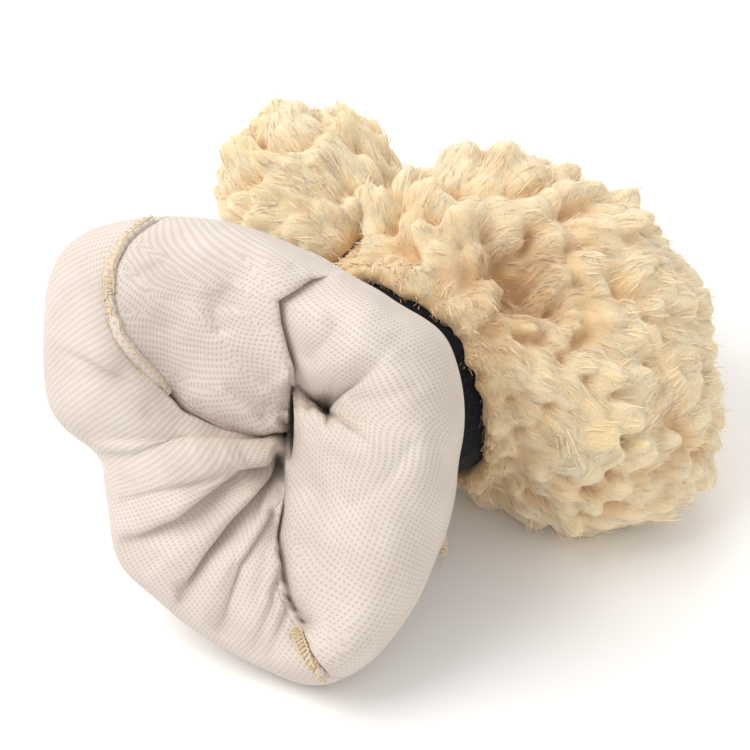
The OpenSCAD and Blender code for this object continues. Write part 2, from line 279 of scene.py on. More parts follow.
def hand_skin(v, g, inset=0.0):
    """The shell's fabric: v from the cuff to the finger end, g round it, 0 on the back."""
    bend = 0.62
    rear = REAR_Y - THUMB_SIDE_REACH * np.maximum(-np.sin(g), 0)
    along = np.where(v < bend, rear + (KNUCKLE_Y - rear) * v / bend, KNUCKLE_Y)
    end = np.clip((v - bend) / (1 - bend), 0, 1) * math.pi / 2
    y = along + (FINGER_REACH - inset) * np.sin(end)
    close = np.maximum(np.cos(end), 0) ** 0.9
    w = (ease(CUFF_RADIUS + 6, HAND_WIDTH, REAR_Y, 30, along) - inset) * close
    t = (ease(CUFF_RADIUS + 2, HAND_DEPTH, REAR_Y, 22, along) - inset) * close
    x0 = ease(-1, HAND_X - 3, REAR_Y, 42, along)
    x = x0 + w * np.sin(g)
    z = t * np.cos(g)
    shoulder = smooth((y - 8) / 20) * np.maximum(-np.sin(g), 0) * np.maximum(np.cos(g), 0) * 2 * close
    x, z = x - 4 * shoulder, z + 5 * shoulder
    from_dimple = np.hypot(x - DIMPLE_ACROSS, y - DIMPLE_ALONG) / DIMPLE_RADIUS
    z = z - np.where(np.cos(g) > 0, DIMPLE_DEPTH * np.exp(-from_dimple**2), 0) * smooth((y - 12) / 18)
    p = mitt(x, y, z)
    swell = 4 * MM * value_noise(p, 0.045, 5) * smooth((y + 2) / 24)
    p = p + unit(p - HAND_MIDDLE) * swell[..., None]
    p[..., 2] = np.where(p[..., 2] < GROUND_SOFTENS, GROUND_SOFTENS / 2 + p[..., 2] / 2, p[..., 2])
    return p


THUMB_OUT, THUMB_Y = 90.0, 17.0
THUMB_HALF, THUMB_ROUND = 29.0, 27.0
THUMB_LOW = 9.0  # towards the palm


def thumb_skin(v, g, inset=0.0):
    """The thumb's fabric: v from the root to the tip, g round it."""
    a = np.clip((v - 0.35) / 0.65, 0, 1) * math.pi / 2
    x = -THUMB_OUT + 32 * (1 - np.minimum(v / 0.35, 1)) - (THUMB_HALF - inset) * np.sin(a)
    r = (THUMB_ROUND - inset) * np.maximum(np.cos(a), 0) ** 0.9
    p = mitt(x, THUMB_Y + r * np.sin(g), r * np.cos(g) - THUMB_LOW)
    return p + unit(p - mitt(-THUMB_OUT, THUMB_Y, 0.0)) * (3 * MM * value_noise(p, 0.03, 9))[..., None]


def skin_shell(skin, rows, cols, thick):
    """A closed fabric shell, thick (mm) deep, open at v = 0."""
    round_it = np.linspace(-math.pi, math.pi, cols, endpoint=False)
    v, g = np.meshgrid(np.linspace(0, 1, rows), round_it, indexing="ij")
    outer, inner = skin(v, g), skin(v, g, thick)
    count = rows * cols
    faces = grid_faces(rows, cols, wrap=True)[:, ::-1]
    j = np.arange(cols)
    k = (j + 1) % cols
    rim = np.stack([j, j + count, k + count, k], -1)[:, ::-1]
    verts = np.concatenate([outer.reshape(-1, 3), inner.reshape(-1, 3)])
    return verts, np.concatenate([faces, faces[:, ::-1] + count, rim])


def near_mouth(v):
    """Size of the tufts along a skin: half at its open end, full a little way on."""
    return 0.5 + 0.5 * smooth(v / 0.22)


def scatter(skin, spacing, seed, tries=40000):
    """Evenly spaced roots on a skin, with normals: rejects any closer than spacing (mm)."""
    g = np.random.default_rng(seed)
    v, a = g.uniform(0, 1, tries), g.uniform(-math.pi, math.pi, tries)
    e = 1e-3
    p = skin(v, a)
    dv = skin(np.minimum(v + e, 1), a) - skin(np.maximum(v - e, 0), a)
    da = skin(v, a + e) - skin(v, a - e)
    area = np.linalg.norm(np.cross(dv, da), axis=1)
    keep = g.uniform(0, 1, tries) < area / np.percentile(area, 98)
    p, v, normal = p[keep], v[keep], unit(np.cross(da, dv))[keep]
    along = unit(dv[keep])
    chosen, cells = [], {}
    for k, c in enumerate(np.floor(p / (spacing * MM)).astype(int)):
        near = [m for dx in (-1, 0, 1) for dy in (-1, 0, 1) for dz in (-1, 0, 1)
                for m in cells.get((c[0] + dx, c[1] + dy, c[2] + dz), ())]
        if all(np.sum((p[k] - p[m]) ** 2) > (spacing * near_mouth(v[k]) * MM) ** 2 for m in near):
            cells.setdefault(tuple(c), []).append(k)
            chosen.append(k)
    return p[chosen], normal[chosen], along[chosen], v[chosen]


# ---------------------------------------------------------------- pile: tufts and fibres
STATIONS = 8  # along a strand
SIDES = 6  # round a strand
FIBRE_STEPS = 4
FIRST_FLOOR = 0.4  # lowest the pile reaches, mm


def tuft_strands(root, normal, flow, length, width, seed, strands=6):
    """Centre lines, radii and axes of the strands of every tuft: blunt fingers of pile, side by side."""
    g = np.random.default_rng(seed)
    n = len(root)
    lean = np.radians(g.uniform(15, 55, n))
    curl = lean + np.radians(g.uniform(25, 70, n))
    side0 = np.cross(normal, flow)
    ring = np.arange(strands) * 2 * np.pi / (strands - 1)
    across = np.where(np.arange(strands) < strands - 1, np.cos(ring), 0.0)
    over = np.where(np.arange(strands) < strands - 1, np.sin(ring), 0.0)
    across = across[None] * g.uniform(0.8, 1.15, (n, strands))
    over = over[None] * g.uniform(0.8, 1.15, (n, strands))
    reach = length[:, None] * g.uniform(0.84, 1.05, (n, strands))
    fan = g.uniform(-0.3, 0.0, (n, strands))
    s = np.linspace(0, 1, STATIONS)
    bend = (curl - lean)[:, None] + g.uniform(-0.2, 0.2, (n, strands))
    angle = lean[:, None, None] + bend[..., None] * s
    yaw = g.uniform(-0.1, 0.1, (n, strands))[..., None] * s
    up3, flow3, side3 = normal[:, None, None], flow[:, None, None], side0[:, None, None]
    heading = up3 * np.cos(angle)[..., None] + (flow3 + side3 * yaw[..., None]) * np.sin(angle)[..., None]
    heading = unit(heading)
    step = (reach / (STATIONS - 1))[..., None, None] * heading * MM
    path = np.concatenate([np.zeros((n, strands, 1, 3)), np.cumsum(step[:, :, :-1], 2)], 2)
    start = (root - normal * 3 * MM)[:, None, None]
    side = unit(np.cross(heading, up3))
    up = np.cross(side, heading)
    spread = width[:, None, None] / 2 * 0.58 * (1 + fan[..., None] * s) * MM
    centre = start + path + side * (across[..., None] * spread)[..., None]
    centre = centre + up * (over[..., None] * spread * 0.62)[..., None]
    shape = 0.8 + 0.3 * np.sin(np.pi * s**0.9) - 0.25 * smooth((s - 0.8) / 0.2)
    radius = width[:, None, None] / 2 * 0.46 * shape * g.uniform(0.85, 1.15, (n, strands, 1)) * MM
    return centre, heading, side, up, radius


def strand_tubes(centre, heading, side, up, radius):
    """Closed tubes along every strand."""
    n = centre.shape[0] * centre.shape[1]
    c, h, sd, uu = (f.reshape(n, STATIONS, 1, 3) for f in (centre, heading, side, up))
    r = radius.reshape(n, STATIONS, 1, 1)
    a = np.linspace(0, 2 * np.pi, SIDES, endpoint=False)[None, None, :, None]
    ring = c + r * (np.cos(a) * sd + np.sin(a) * uu)
    root = c[:, 0, 0] - h[:, 0, 0] * r[:, 0, 0] * 0.3
    tip = c[:, -1, 0] + h[:, -1, 0] * r[:, -1, 0] * 0.9
    per = STATIONS * SIDES + 2
    verts = np.concatenate([ring.reshape(n, -1, 3), root[:, None], tip[:, None]], 1)
    quads = grid_faces(STATIONS, SIDES, wrap=True)
    first, last = np.arange(SIDES), (STATIONS - 1) * SIDES + np.arange(SIDES)
    caps = np.concatenate([
        np.stack([np.roll(first, -1), first, np.full(SIDES, per - 2)], -1),
        np.stack([last, np.roll(last, -1), np.full(SIDES, per - 1)], -1),
    ])
    offset = (np.arange(n) * per)[:, None, None]
    return verts.reshape(-1, 3), (quads[None] + offset).reshape(-1, 4), (caps[None] + offset).reshape(-1, 3)


def fibres_on(centre, heading, side, up, radius, per_strand, seed):
    """Tapered ribbons lying on the strands and running out past their tips, with outward normals."""
    g = np.random.default_rng(seed)
    n = centre.shape[0] * centre.shape[1]
    line, ahead, *axes = (f.reshape(n, STATIONS, 3) for f in (centre, heading, side, up))
    end = line[:, -1:] + ahead[:, -1:] * 3 * MM
    fields = [np.concatenate([line, end], 1)] + [np.concatenate([f, f[:, -1:]], 1) for f in axes]
    rad = np.concatenate([radius.reshape(n, STATIONS), radius.reshape(n, STATIONS)[:, -1:] * 0.75], 1)
    start = g.uniform(0.1, 0.8, (n, per_strand))
    reach = g.uniform(0.2, 0.42, (n, per_strand))
    steps = np.linspace(0, 1, FIBRE_STEPS)
    pos = np.clip((start[..., None] + reach[..., None] * steps) * (STATIONS - 1), 0, STATIONS - 0.01)
    low = pos.astype(int)
    frac = (pos - low)[..., None]
    pick = np.arange(n)[:, None, None]
    c, sd, uu = (f[pick, low] * (1 - frac) + f[pick, low + 1] * frac for f in fields)
    r = rad[pick, low] * (1 - frac[..., 0]) + rad[pick, low + 1] * frac[..., 0]
    around = g.uniform(-0.35 * np.pi, 1.35 * np.pi, (n, per_strand, 1))
    around = around + g.uniform(-0.5, 0.5, (n, per_strand, 1)) * steps
    stray = (g.uniform(0, 1, (n, per_strand, 1)) ** 2) * 1.0 * steps**1.5 + 0.06 * steps + 0.02
    out = sd * np.cos(around)[..., None] + uu * np.sin(around)[..., None]
    point = c + out * (r * (1.02 + stray))[..., None]
    tangent = -sd * np.sin(around)[..., None] + uu * np.cos(around)[..., None]
    taper = 0.35 + 0.65 * np.sin(np.pi * steps**0.7)
    half = g.uniform(0.14, 0.34, (n, per_strand, 1)) * taper * MM
    strip = np.stack([point - tangent * half[..., None], point + tangent * half[..., None]], 3)
    count = n * per_strand
    cell = np.array([[2 * k, 2 * k + 1, 2 * k + 3, 2 * k + 2] for k in range(FIBRE_STEPS - 1)])
    quads = (cell[None] + (np.arange(count) * FIBRE_STEPS * 2)[:, None, None]).reshape(-1, 4)[:, ::-1]
    normals = np.repeat(out.reshape(-1, 3), 2, axis=0)
    return strip.reshape(-1, 3), quads, normals, np.repeat(g.uniform(0, 1, count), FIBRE_STEPS * 2)


def union_of(name, meshes, voxel, settle=15):
    """One skin round overlapping closed meshes: positions, faces and normals."""
    verts, faces, base = [], [], 0
    for v, *groups in meshes:
        verts.append(v)
        faces += [f + base for f in groups]
        base += len(v)
    obj = mesh_object(name, np.concatenate(verts), faces)
    remesh = obj.modifiers.new("union", "REMESH")
    remesh.mode = "VOXEL"
    remesh.voxel_size = voxel * MM
    soften = obj.modifiers.new("soften", "SMOOTH")
    soften.iterations, soften.factor = settle, 0.5
    done = obj.evaluated_get(bpy.context.evaluated_depsgraph_get()).data
    p = np.empty(len(done.vertices) * 3, np.float32)
    done.vertices.foreach_get("co", p)
    normal = np.empty(len(done.vertices) * 3, np.float32)
    done.vertex_normals.foreach_get("vector", normal)
    quads = np.empty(len(done.loops), np.int32)
    done.loops.foreach_get("vertex_index", quads)
    assert len(quads) == 4 * len(done.polygons)
    old = obj.data
    bpy.data.objects.remove(obj)
    bpy.data.meshes.remove(old)
    return p.reshape(-1, 3).astype(float), quads.reshape(-1, 4), normal.reshape(-1, 3).astype(float)


def nearest_index(points, queries):
    tree = KDTree(len(points))
    for k, p in enumerate(points):
        tree.insert(p, k)
    tree.balance()
    return np.array([tree.find(q)[1] for q in queries])


def pile_piece(name, node, base, fibres, colours):
    """A panel of pile: its part of the union under its own fibres."""
    verts, quads, normals = base
    used, faces = np.unique(quads, return_inverse=True)
    fv, fq, fn, shade = fibres
    allv = np.concatenate([verts[used], fv])
    alln = np.concatenate([normals[used], fn])
    allv[:, 2] = np.maximum(allv[:, 2], FIRST_FLOOR * MM)
    obj = mesh_object(name, allv, [faces.reshape(-1, 4), fq + len(used)])
    obj.data.normals_split_custom_set_from_vertices(unit(alln).astype(np.float32))
    for key, (on_base, on_fibres) in colours.items():
        point_attribute(obj, key, np.concatenate([on_base[used], on_fibres]))
    point_attribute(obj, "streak", np.concatenate([np.full(len(used), 0.35), shade]))
    obj.data.materials.append(PILE)
    obj.data.materials.append(PILE_FIBRE)
    slots = np.zeros(len(obj.data.polygons), np.int32)
    slots[len(quads):] = 1
    obj.data.polygons.foreach_set("material_index", slots)
    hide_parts(node)
    return obj


def flow_on(p, normal, wish, seed, swirl, size):
    """Directions in the skin for tufts to lie in: the wished way, turned by slow and quick noise."""
    wish = wish - normal * np.sum(wish * normal, 1, keepdims=True)
    wish = unit(wish + 1e-6)
    cross = np.cross(normal, wish)
    quick = np.random.default_rng(seed).normal(size=len(p))
    turn = swirl * 1.6 * value_noise(p, size, seed) + swirl * 0.2 * quick
    return unit(wish * np.cos(turn)[:, None] + cross * np.sin(turn)[:, None])


def pile_depth(points, skin_points, skin_normals, height):
    """Share of the pile's height at points: 0 on the skin, 1 at the tips."""
    near = nearest_index(skin_points, points)
    return np.sum((points - skin_points[near]) * skin_normals[near], 1) / (height * MM)


THUMB_ROOT = mitt(-60.0, 15.0, 8.0)


def grow_pile(skin, spacing, wish, seed, voxel, length, width, per_strand, panels, swirl, size, shell):
    """Tufts all over a skin, merged, split into panels and covered with fibres."""
    p, normal, along, v = scatter(skin, spacing, seed)
    g = np.random.default_rng(seed + 100)
    flow = flow_on(p, normal, wish(p, along), seed + 1, swirl, size)
    from_dimple = np.linalg.norm(p - mitt(DIMPLE_ACROSS, DIMPLE_ALONG, HAND_DEPTH - DIMPLE_DEPTH), axis=1)
    # Closeness to the dent: it shortens the tufts there, and the pile material paints shade with it.
    dimple = np.exp(-(from_dimple / (DIMPLE_RADIUS * 1.1 * MM)) ** 2)
    big = value_noise(p, 0.022, seed + 2)
    long = length * (1 + 0.22 * big) * g.uniform(0.8, 1.2, len(p)) * (1 - 0.25 * dimple) * near_mouth(v)
    long = long * (1 + 0.35 * np.exp(-(np.linalg.norm(p - THUMB_ROOT, axis=1) / 0.022) ** 2))
    wide = width * g.uniform(0.8, 1.25, len(p)) * (1 - 0.2 * dimple) * near_mouth(v) ** 0.6
    strands = tuft_strands(p, normal, flow, long, wide, seed + 3)
    base = union_of("pile_union", [strand_tubes(*strands), skin_shell(skin, *shell)], voxel)
    round_it = np.linspace(-math.pi, math.pi, 240)
    dense_v, dense_a = np.meshgrid(np.linspace(0, 1, 120), round_it, indexing="ij")
    e = 1e-3
    dense = skin(dense_v, dense_a).reshape(-1, 3)
    turn = np.cross(skin(dense_v, dense_a + e) - skin(dense_v, dense_a - e),
                    skin(np.minimum(dense_v + e, 1), dense_a) - skin(np.maximum(dense_v - e, 0), dense_a))
    dense_normal = unit(turn).reshape(-1, 3)
    fibre_sets = fibres_on(*strands, per_strand, seed + 4)
    count = per_strand * strands[0].shape[1] * FIBRE_STEPS * 2  # fibre vertices to a tuft
    height = length * 0.62
    near = nearest_index(np.concatenate([p, p + normal * 5 * MM]), base[0]) % len(p)
    tint = g.uniform(0, 1, len(p))
    # Attributes for the pile material; depth and dimple also set where it paints shade (at the roots and in
    # the dent).
    colours = {
        "depth": (pile_depth(base[0], dense, dense_normal, height),
                  pile_depth(fibre_sets[0], dense, dense_normal, height)),
        "tint": (tint[near], np.repeat(tint, count)),
        "dimple": (dimple[near], np.repeat(dimple, count)),
    }
    face_middle = base[0][base[1]].mean(1)
    made = []
    for name, node, inside in panels:
        faces = inside(face_middle)
        tufts = inside(p)
        pick = np.repeat(tufts, count)
        index = np.cumsum(pick) - 1
        quads = fibre_sets[1][pick[fibre_sets[1][:, 0]]]
        part = (fibre_sets[0][pick], index[quads], fibre_sets[2][pick], fibre_sets[3][pick])
        share = {key: (value[0], value[1][pick]) for key, value in colours.items()}
        made.append(pile_piece(name, node, (base[0], base[1][faces], base[2]), part, share))
    return made


def build_hand_pile():
    def wish(p, along):
        y = (p - CUFF) @ LONG / MM
        to_mouth = 0.5 * np.exp(-np.maximum(y, 0) / 9)[:, None] * -LONG
        away = unit(p - mitt(DIMPLE_ACROSS, DIMPLE_ALONG, 0.0))
        return away + 0.3 * along - 0.45 * np.array([0, 0, 1.0]) + to_mouth

    def back(p):
        return (p - CUFF) @ THICK > 0

    def fingers(p):
        return (p - CUFF) @ LONG > KNUCKLE_Y * MM

    panels = [
        ("pile_hand_back", "hand_back_pile", lambda p: back(p) & ~fingers(p)),
        ("pile_finger_back", "finger_back_pile", lambda p: back(p) & fingers(p)),
        ("pile_hand_palm", "hand_palm_pile", lambda p: ~back(p) & ~fingers(p)),
        ("pile_finger_palm", "finger_palm_pile", lambda p: ~back(p) & fingers(p)),
    ]
    return grow_pile(hand_skin, spacing=8.4, wish=wish, seed=3, voxel=1.3, length=17.0, width=14.5,
                     per_strand=17, panels=panels, swirl=1.1, size=0.028, shell=(90, 180, 6.0))


def build_thumb_pile():
    def wish(p, along):
        return along + 0.35 * np.array([0, 0, 1.0])

    panels = [
        ("pile_thumb_back", "thumb_back_pile", lambda p: (p - CUFF) @ THICK > 0),
        ("pile_thumb_palm", "thumb_palm_pile", lambda p: (p - CUFF) @ THICK <= 0),
    ]
    return grow_pile(thumb_skin, spacing=7.4, wish=wish, seed=4, voxel=1.1, length=17.0, width=13.0,
                     per_strand=19, panels=panels, swirl=0.9, size=0.022, shell=(40, 90, 5.0))


hand_pile = build_hand_pile()
thumb_pile = build_thumb_pile()

# ---------------------------------------------------------------- liner: outline and seams
# Distances from the pinch to the roll's edge (mm) by angle round its face (degrees).
OUTLINE = [(0, 70), (30, 72), (47, 65), (66, 64), (90, 72), (104, 82), (118, 94), (130, 106), (140, 115),
           (148, 113), (160, 104), (168, 100), (178, 95), (189, 75), (205, 79), (219, 88), (233, 87),
           (252, 92), (263, 97), (276, 106), (287, 102), (298, 93), (316, 80), (331, 74), (347, 69),
           (360, 70)]
# Angle of each seam (degrees) by share of the way from the pinch to the edge.
THUMB_SEAM = [(0, 200), (0.12, 197), (0.25, 184), (0.38, 174), (0.46, 167), (0.53, 161), (0.6, 157),
              (0.68, 152), (0.79, 141), (0.9, 131), (1, 120)]
LITTLE_SEAM = [(0, 262), (0.25, 265), (0.45, 262), (0.6, 265), (0.7, 268.5), (0.77, 273), (0.87, 276),
               (0.97, 279), (1, 283)]
SLIT = (1.0, 1.0, 1.5, 14.0)  # middle and half sizes of the gathered mouth


def table(rows, x):
    xs, ys = zip(*rows)
    return np.interp(x, xs, ys)


def outline_radius(angle):
    a = np.degrees(angle) % 360
    return sum(table(OUTLINE, (a + d) % 360) for d in (-4, -2, 0, 2, 4)) / 5


def polar(p, q):
    return np.arctan2(q, p), np.hypot(p, q)


def near_line(p, q, line):
    """Distance to a polyline, share of the way along it, side (+ is left of it), and the way off it."""
    best = np.full(np.shape(p), 1e9)
    along, side, off_p, off_q = (np.zeros(np.shape(p)) for _ in range(4))
    pts = np.array(line, float)
    lengths = np.concatenate([[0], np.cumsum(np.hypot(*np.diff(pts, axis=0).T))])
    for k in range(len(pts) - 1):
        a, b = pts[k], pts[k + 1]
        d = b - a
        u = np.clip(((p - a[0]) * d[0] + (q - a[1]) * d[1]) / (d @ d), 0, 1)
        step_p, step_q = p - a[0] - u * d[0], q - a[1] - u * d[1]
        dist = np.hypot(step_p, step_q)
        closer = dist < best
        off_p, off_q = np.where(closer, step_p, off_p), np.where(closer, step_q, off_q)
        best = np.where(closer, dist, best)
        along = np.where(closer, (lengths[k] + u * np.linalg.norm(d)) / lengths[-1], along)
        side = np.where(closer, np.sign(d[0] * (q - a[1]) - d[1] * (p - a[0])), side)
    return best, along, side, off_p / np.maximum(best, 0.1), off_q / np.maximum(best, 0.1)


# Where the fat lobe's inner edge lies over the pleated side, and the parts of the seams left showing.
LOBE_EDGE = [(-48.6, 12), (-42, 5), (-26.7, -1.7), (-11, -3.4), (-1, -3), (-1.5, -8), (-1.3, -26),
             (-5, -45), (-3.5, -58), (-0.3, -70), (6, -80)]
THUMB_SEAM_SHOWN = [(-46, 83.6), (-59, 76), (-66.6, 67), (-70, 58), (-70.3, 47.5), (-68.6, 36), (-62.8, 27),
                    (-55.7, 19), (-48.6, 12)]
LITTLE_SEAM_SHOWN = [(6, -80), (9.3, -90), (15.8, -102), (24.8, -105)]

# Each fold: its line, its depth at the start and the end, and how far it spreads left and right of it.
LOBE_FOLDS = [
    ([(30, 62), (9, 58.5), (-4.8, 50), (-3.8, 41), (-1, 29.5), (3.5, 16), (9.3, 9), (15.8, 4.5)],
     4, 22, 10, 2.5),
    ([(15.8, 3.5), (18.4, 8), (26, 14.7), (35, 23)], 16, 2, 8, 2.5),
    ([(15.8, 3), (8, 5), (3, 12)], 12, 8, 2.5, 8),
    ([(-26.7, 16), (-11.3, 7), (3.5, 10)], 1.5, 7, 3, 3),
    ([(-12, 3), (-4, 5.5), (3, 8)], 3, 6, 2.5, 2.5),
    ([(-11.3, 9), (-4.8, 12.7), (3, 15.5)], 2, 6, 2.5, 2.5),
    ([(-31, 54), (-30, 46), (-27, 35)], 1.5, 2.8, 5, 4),
    ([(-12, 69), (-20, 55), (-23, 44)], 1, 2.5, 4, 6),
    ([(-22, 31), (-15, 18), (-8, 14)], 1, 4, 4, 5),
    ([(27, 47), (14.5, 33), (6, 24)], 1, 3.5, 5, 5),
    ([(-24, 56), (-30, 44), (-24, 32)], 2.5, 3.0, 6, 4),
    ([(0, 66), (12, 52), (22, 36)], 2.0, 2.2, 6, 4),
    ([(36, 28), (30, 8), (22, -10)], 1.8, 2.6, 5, 7),
    ([(52, -4), (40, -22), (22, -36)], 1.8, 2.2, 6, 5),
    ([(54, 16), (35, 9), (24, 7)], 1.2, 3, 4, 6),
    ([(12, -20), (19, -45), (27, -78)], 1.2, 1.8, 7, 6),
    ([(40, 38), (52, 22), (58, 5)], 1.0, 1.0, 5, 5),
    ([(50, -34), (44, -60), (34, -82)], 1.0, 1.6, 6, 6),
    ([(-56, 66), (-48, 50), (-46, 36)], 1.4, 1.4, 6, 6),
]
FAN_FOLDS = [
    ([(-86, -5.5), (-46, -4.7), (-20, -5), (-1, -3.4)], 3, 8, 7, 1.6),
    ([(-2.2, -11.8), (-21.6, -17), (-32, -25.3), (-46, -37), (-66.6, -46.5)], 15, 6, 10, 2),
    ([(-2.9, -13), (-13.8, -24.6), (-25.4, -37.5), (-34.4, -50.4), (-43, -66)], 15, 7, 9, 2),
    ([(-2, -25), (-11.3, -30), (-21, -46), (-27, -66)], 5, 2, 6, 3.5),
    ([(-3, -40), (-10, -52), (-14, -70)], 3, 2.5, 5, 4),
    ([(0.3, -71), (-4.8, -84), (-8.7, -96)], 5, 3, 4, 2.5),
    ([(-95, 32), (-80, 26), (-69, 20.5)], 3, 8, 2, 6),
    ([(-96, 22), (-82, 18), (-66, 20)], 2, 4, 5, 3),
    ([(-78, -20), (-62, -24), (-50, -20)], 2.5, 1.5, 5, 5),
    ([(-60, 5), (-40, 2), (-24, -2)], 1.5, 2, 6, 3),
    ([(-50, -52), (-60, -62), (-66, -74)], 2, 3, 5, 4),
    ([(-88, 62), (-84, 50), (-86, 42)], 2, 2, 4, 5),
    ([(-6, -34), (-20, -56), (-28, -82)], 6, 4, 6, 1.8),
    ([(-40, -6), (-62, -12), (-80, -12)], 5, 5, 5, 1.6),
    ([(-24, -14.5), (-40, -22), (-66, -30)], 5, 3, 5, 1.8),
    ([(-2, -52), (-8, -70), (-16, -92)], 5.5, 3, 5, 1.8),
]
FAN_RIDGES = [
    ([(-82, -13), (-40, -10), (-20, -12), (-3, -9)], 2.5, 2, 4, 5),
    ([(-4, -15), (-20, -26), (-38, -44), (-58, -62)], 3, 3, 5, 6),
    ([(-3, -22), (-16, -40), (-30, -62), (-36, -80)], 3, 2.5, 5, 5),
    ([(-18, -14.5), (-32, -21.5), (-47, -32)], 3, 3, 3, 7),
]


def inside_outline(p, q, corners):
    """Whether points lie inside a closed outline."""
    inside = np.zeros(np.shape(p), bool)
    for (x0, y0), (x1, y1) in zip(corners, corners[1:] + corners[:1]):
        crosses = (y0 > q) != (y1 > q)
        at = x0 + (x1 - x0) * (q - y0) / (y1 - y0 if y1 != y0 else 1e-9)
        inside ^= crosses & (p < at)
    return inside


def folds(p, q, rows):
    total = np.zeros(np.shape(p))
    for line, d0, d1, left, right in rows:
        d, s, side, _, _ = near_line(p, q, line)
        spread = np.where(side > 0, left, right)
        taper = smooth(s / 0.12) * smooth((1 - s) / 0.12) if min(d0, d1) < 2 else smooth(s / 0.06 + 0.4)
        total = total + (d0 + (d1 - d0) * s) * taper * np.exp(-((d / spread) ** 1.3))
    return total


def lips(p, q):
    """Sideways move (mm) that carries the steep side of each deep fold over its crease."""
    move_p, move_q = np.zeros(np.shape(p)), np.zeros(np.shape(p))
    for line, d0, d1, left, right in LOBE_FOLDS + FAN_FOLDS:
        if max(d0, d1) < 5 or left == right:
            continue
        d, s, side, off_p, off_q = near_line(p, q, line)
        steep = min(left, right)
        depth = d0 + (d1 - d0) * s
        over = np.minimum(0.5 * depth, 5.0) * smooth(s / 0.1) * smooth((1 - s) / 0.1)
        over = over * (1 - np.exp(-((d / steep) ** 1.3))) * np.exp(-((d / (2.5 * steep + 4)) ** 2))
        over = np.where(side < 0, over, 0) if right < left else np.where(side > 0, over, 0)
        move_p, move_q = move_p - off_p * over, move_q - off_q * over
    return move_p, move_q


def face_height(angle):
    share = smooth((1 + np.cos(angle - math.radians(20))) / 2)
    return 21 + 25 * share


def rim_height(angle):
    return 12 + 10 * np.cos(angle - math.radians(50))


def roll_height(p, q):
    """Height of the front of the roll over its pinch (mm)."""
    angle, rho = polar(p, q)
    edge = outline_radius(angle)
    t = np.clip(rho / edge, 0, 1)
    gap = near_line(p, q, LOBE_EDGE)[0]
    near_rim = np.maximum(edge - rho, 0)
    c = gap / np.maximum(gap + near_rim, 1e-6)
    crown = np.sqrt(np.clip(4 * c * (1 - c), 0, 1))
    lobe = (face_height(angle) + 3) * crown**0.85 + rim_height(angle) * smooth(c) - 3
    lobe = lobe - folds(p, q, LOBE_FOLDS) * smooth(near_rim / 10)
    arch = np.maximum(np.sin(np.pi * t**1.15), 0) ** 0.65
    fan = (face_height(angle) - 1) * arch + rim_height(angle) * smooth(t)
    fan = fan - 9 * np.exp(-((gap / 9) ** 1.2))
    fan = fan + (folds(p, q, FAN_RIDGES) - folds(p, q, FAN_FOLDS)) * smooth(near_rim / 8)
    beyond = [(25, -300), (300, -300), (300, 300), (-46, 300)]
    on_lobe = inside_outline(p, q, THUMB_SEAM_SHOWN + LOBE_EDGE[1:] + LITTLE_SEAM_SHOWN[1:] + beyond)
    seam_gap = np.minimum(near_line(p, q, THUMB_SEAM_SHOWN)[0], near_line(p, q, LITTLE_SEAM_SHOWN)[0])
    share = np.exp(-((seam_gap / 16) ** 1.5)) * (1 - np.exp(-((gap / 14) ** 2)))
    height = np.where(on_lobe, lobe, fan + (lobe - fan) * share - 1.8 * np.exp(-seam_gap / 5))
    flat = np.stack([p, q, 0 * p], -1) * MM
    slant = np.stack([p * 0.8 - q * 0.6, (p * 0.6 + q * 0.8) * 2.2, 0 * p], -1) * MM
    ripple = value_noise(flat, 0.014, 77) * 0.8 + value_noise(flat, 0.006, 78) * 0.22
    ripple = ripple + value_noise(slant, 0.026, 79) * 2.1
    return height + ripple * smooth(near_rim / 6)


def ring_point(angle, y, radius, lift=0.0):
    """Points of a ring about the cuff's axis, at the same angle round the roll."""
    d = np.cos(angle)[..., None] * FACE_P + np.sin(angle)[..., None] * FACE_Q
    d = unit(d * np.array([1, 0, 1]))
    y, radius, lift = (np.broadcast_to(v, angle.shape)[..., None] for v in (y, radius, lift))
    return CUFF + MM * (radius * d + y * LONG + lift * np.array([0, 0, 1.0]))


FRONT_ROWS, BACK_ROWS, THROAT_ROWS, NECK_ROWS = 104, 26, 9, 16


def front_point(angle, t):
    """A point of the front of the roll, t from the gathered mouth to the edge."""
    edge = outline_radius(angle)
    p = (1 - t) * (SLIT[0] + SLIT[2] * np.cos(angle)) + t * edge * np.cos(angle)
    q = (1 - t) * (SLIT[1] + SLIT[3] * np.sin(angle)) + t * edge * np.sin(angle)
    h = roll_height(p, q)
    h = h - 10 * (1 - smooth(t / 0.05))
    over_p, over_q = lips(p, q)
    open_share = smooth((t - 0.03) / 0.08)
    return p + over_p * open_share, q + over_q * open_share, h


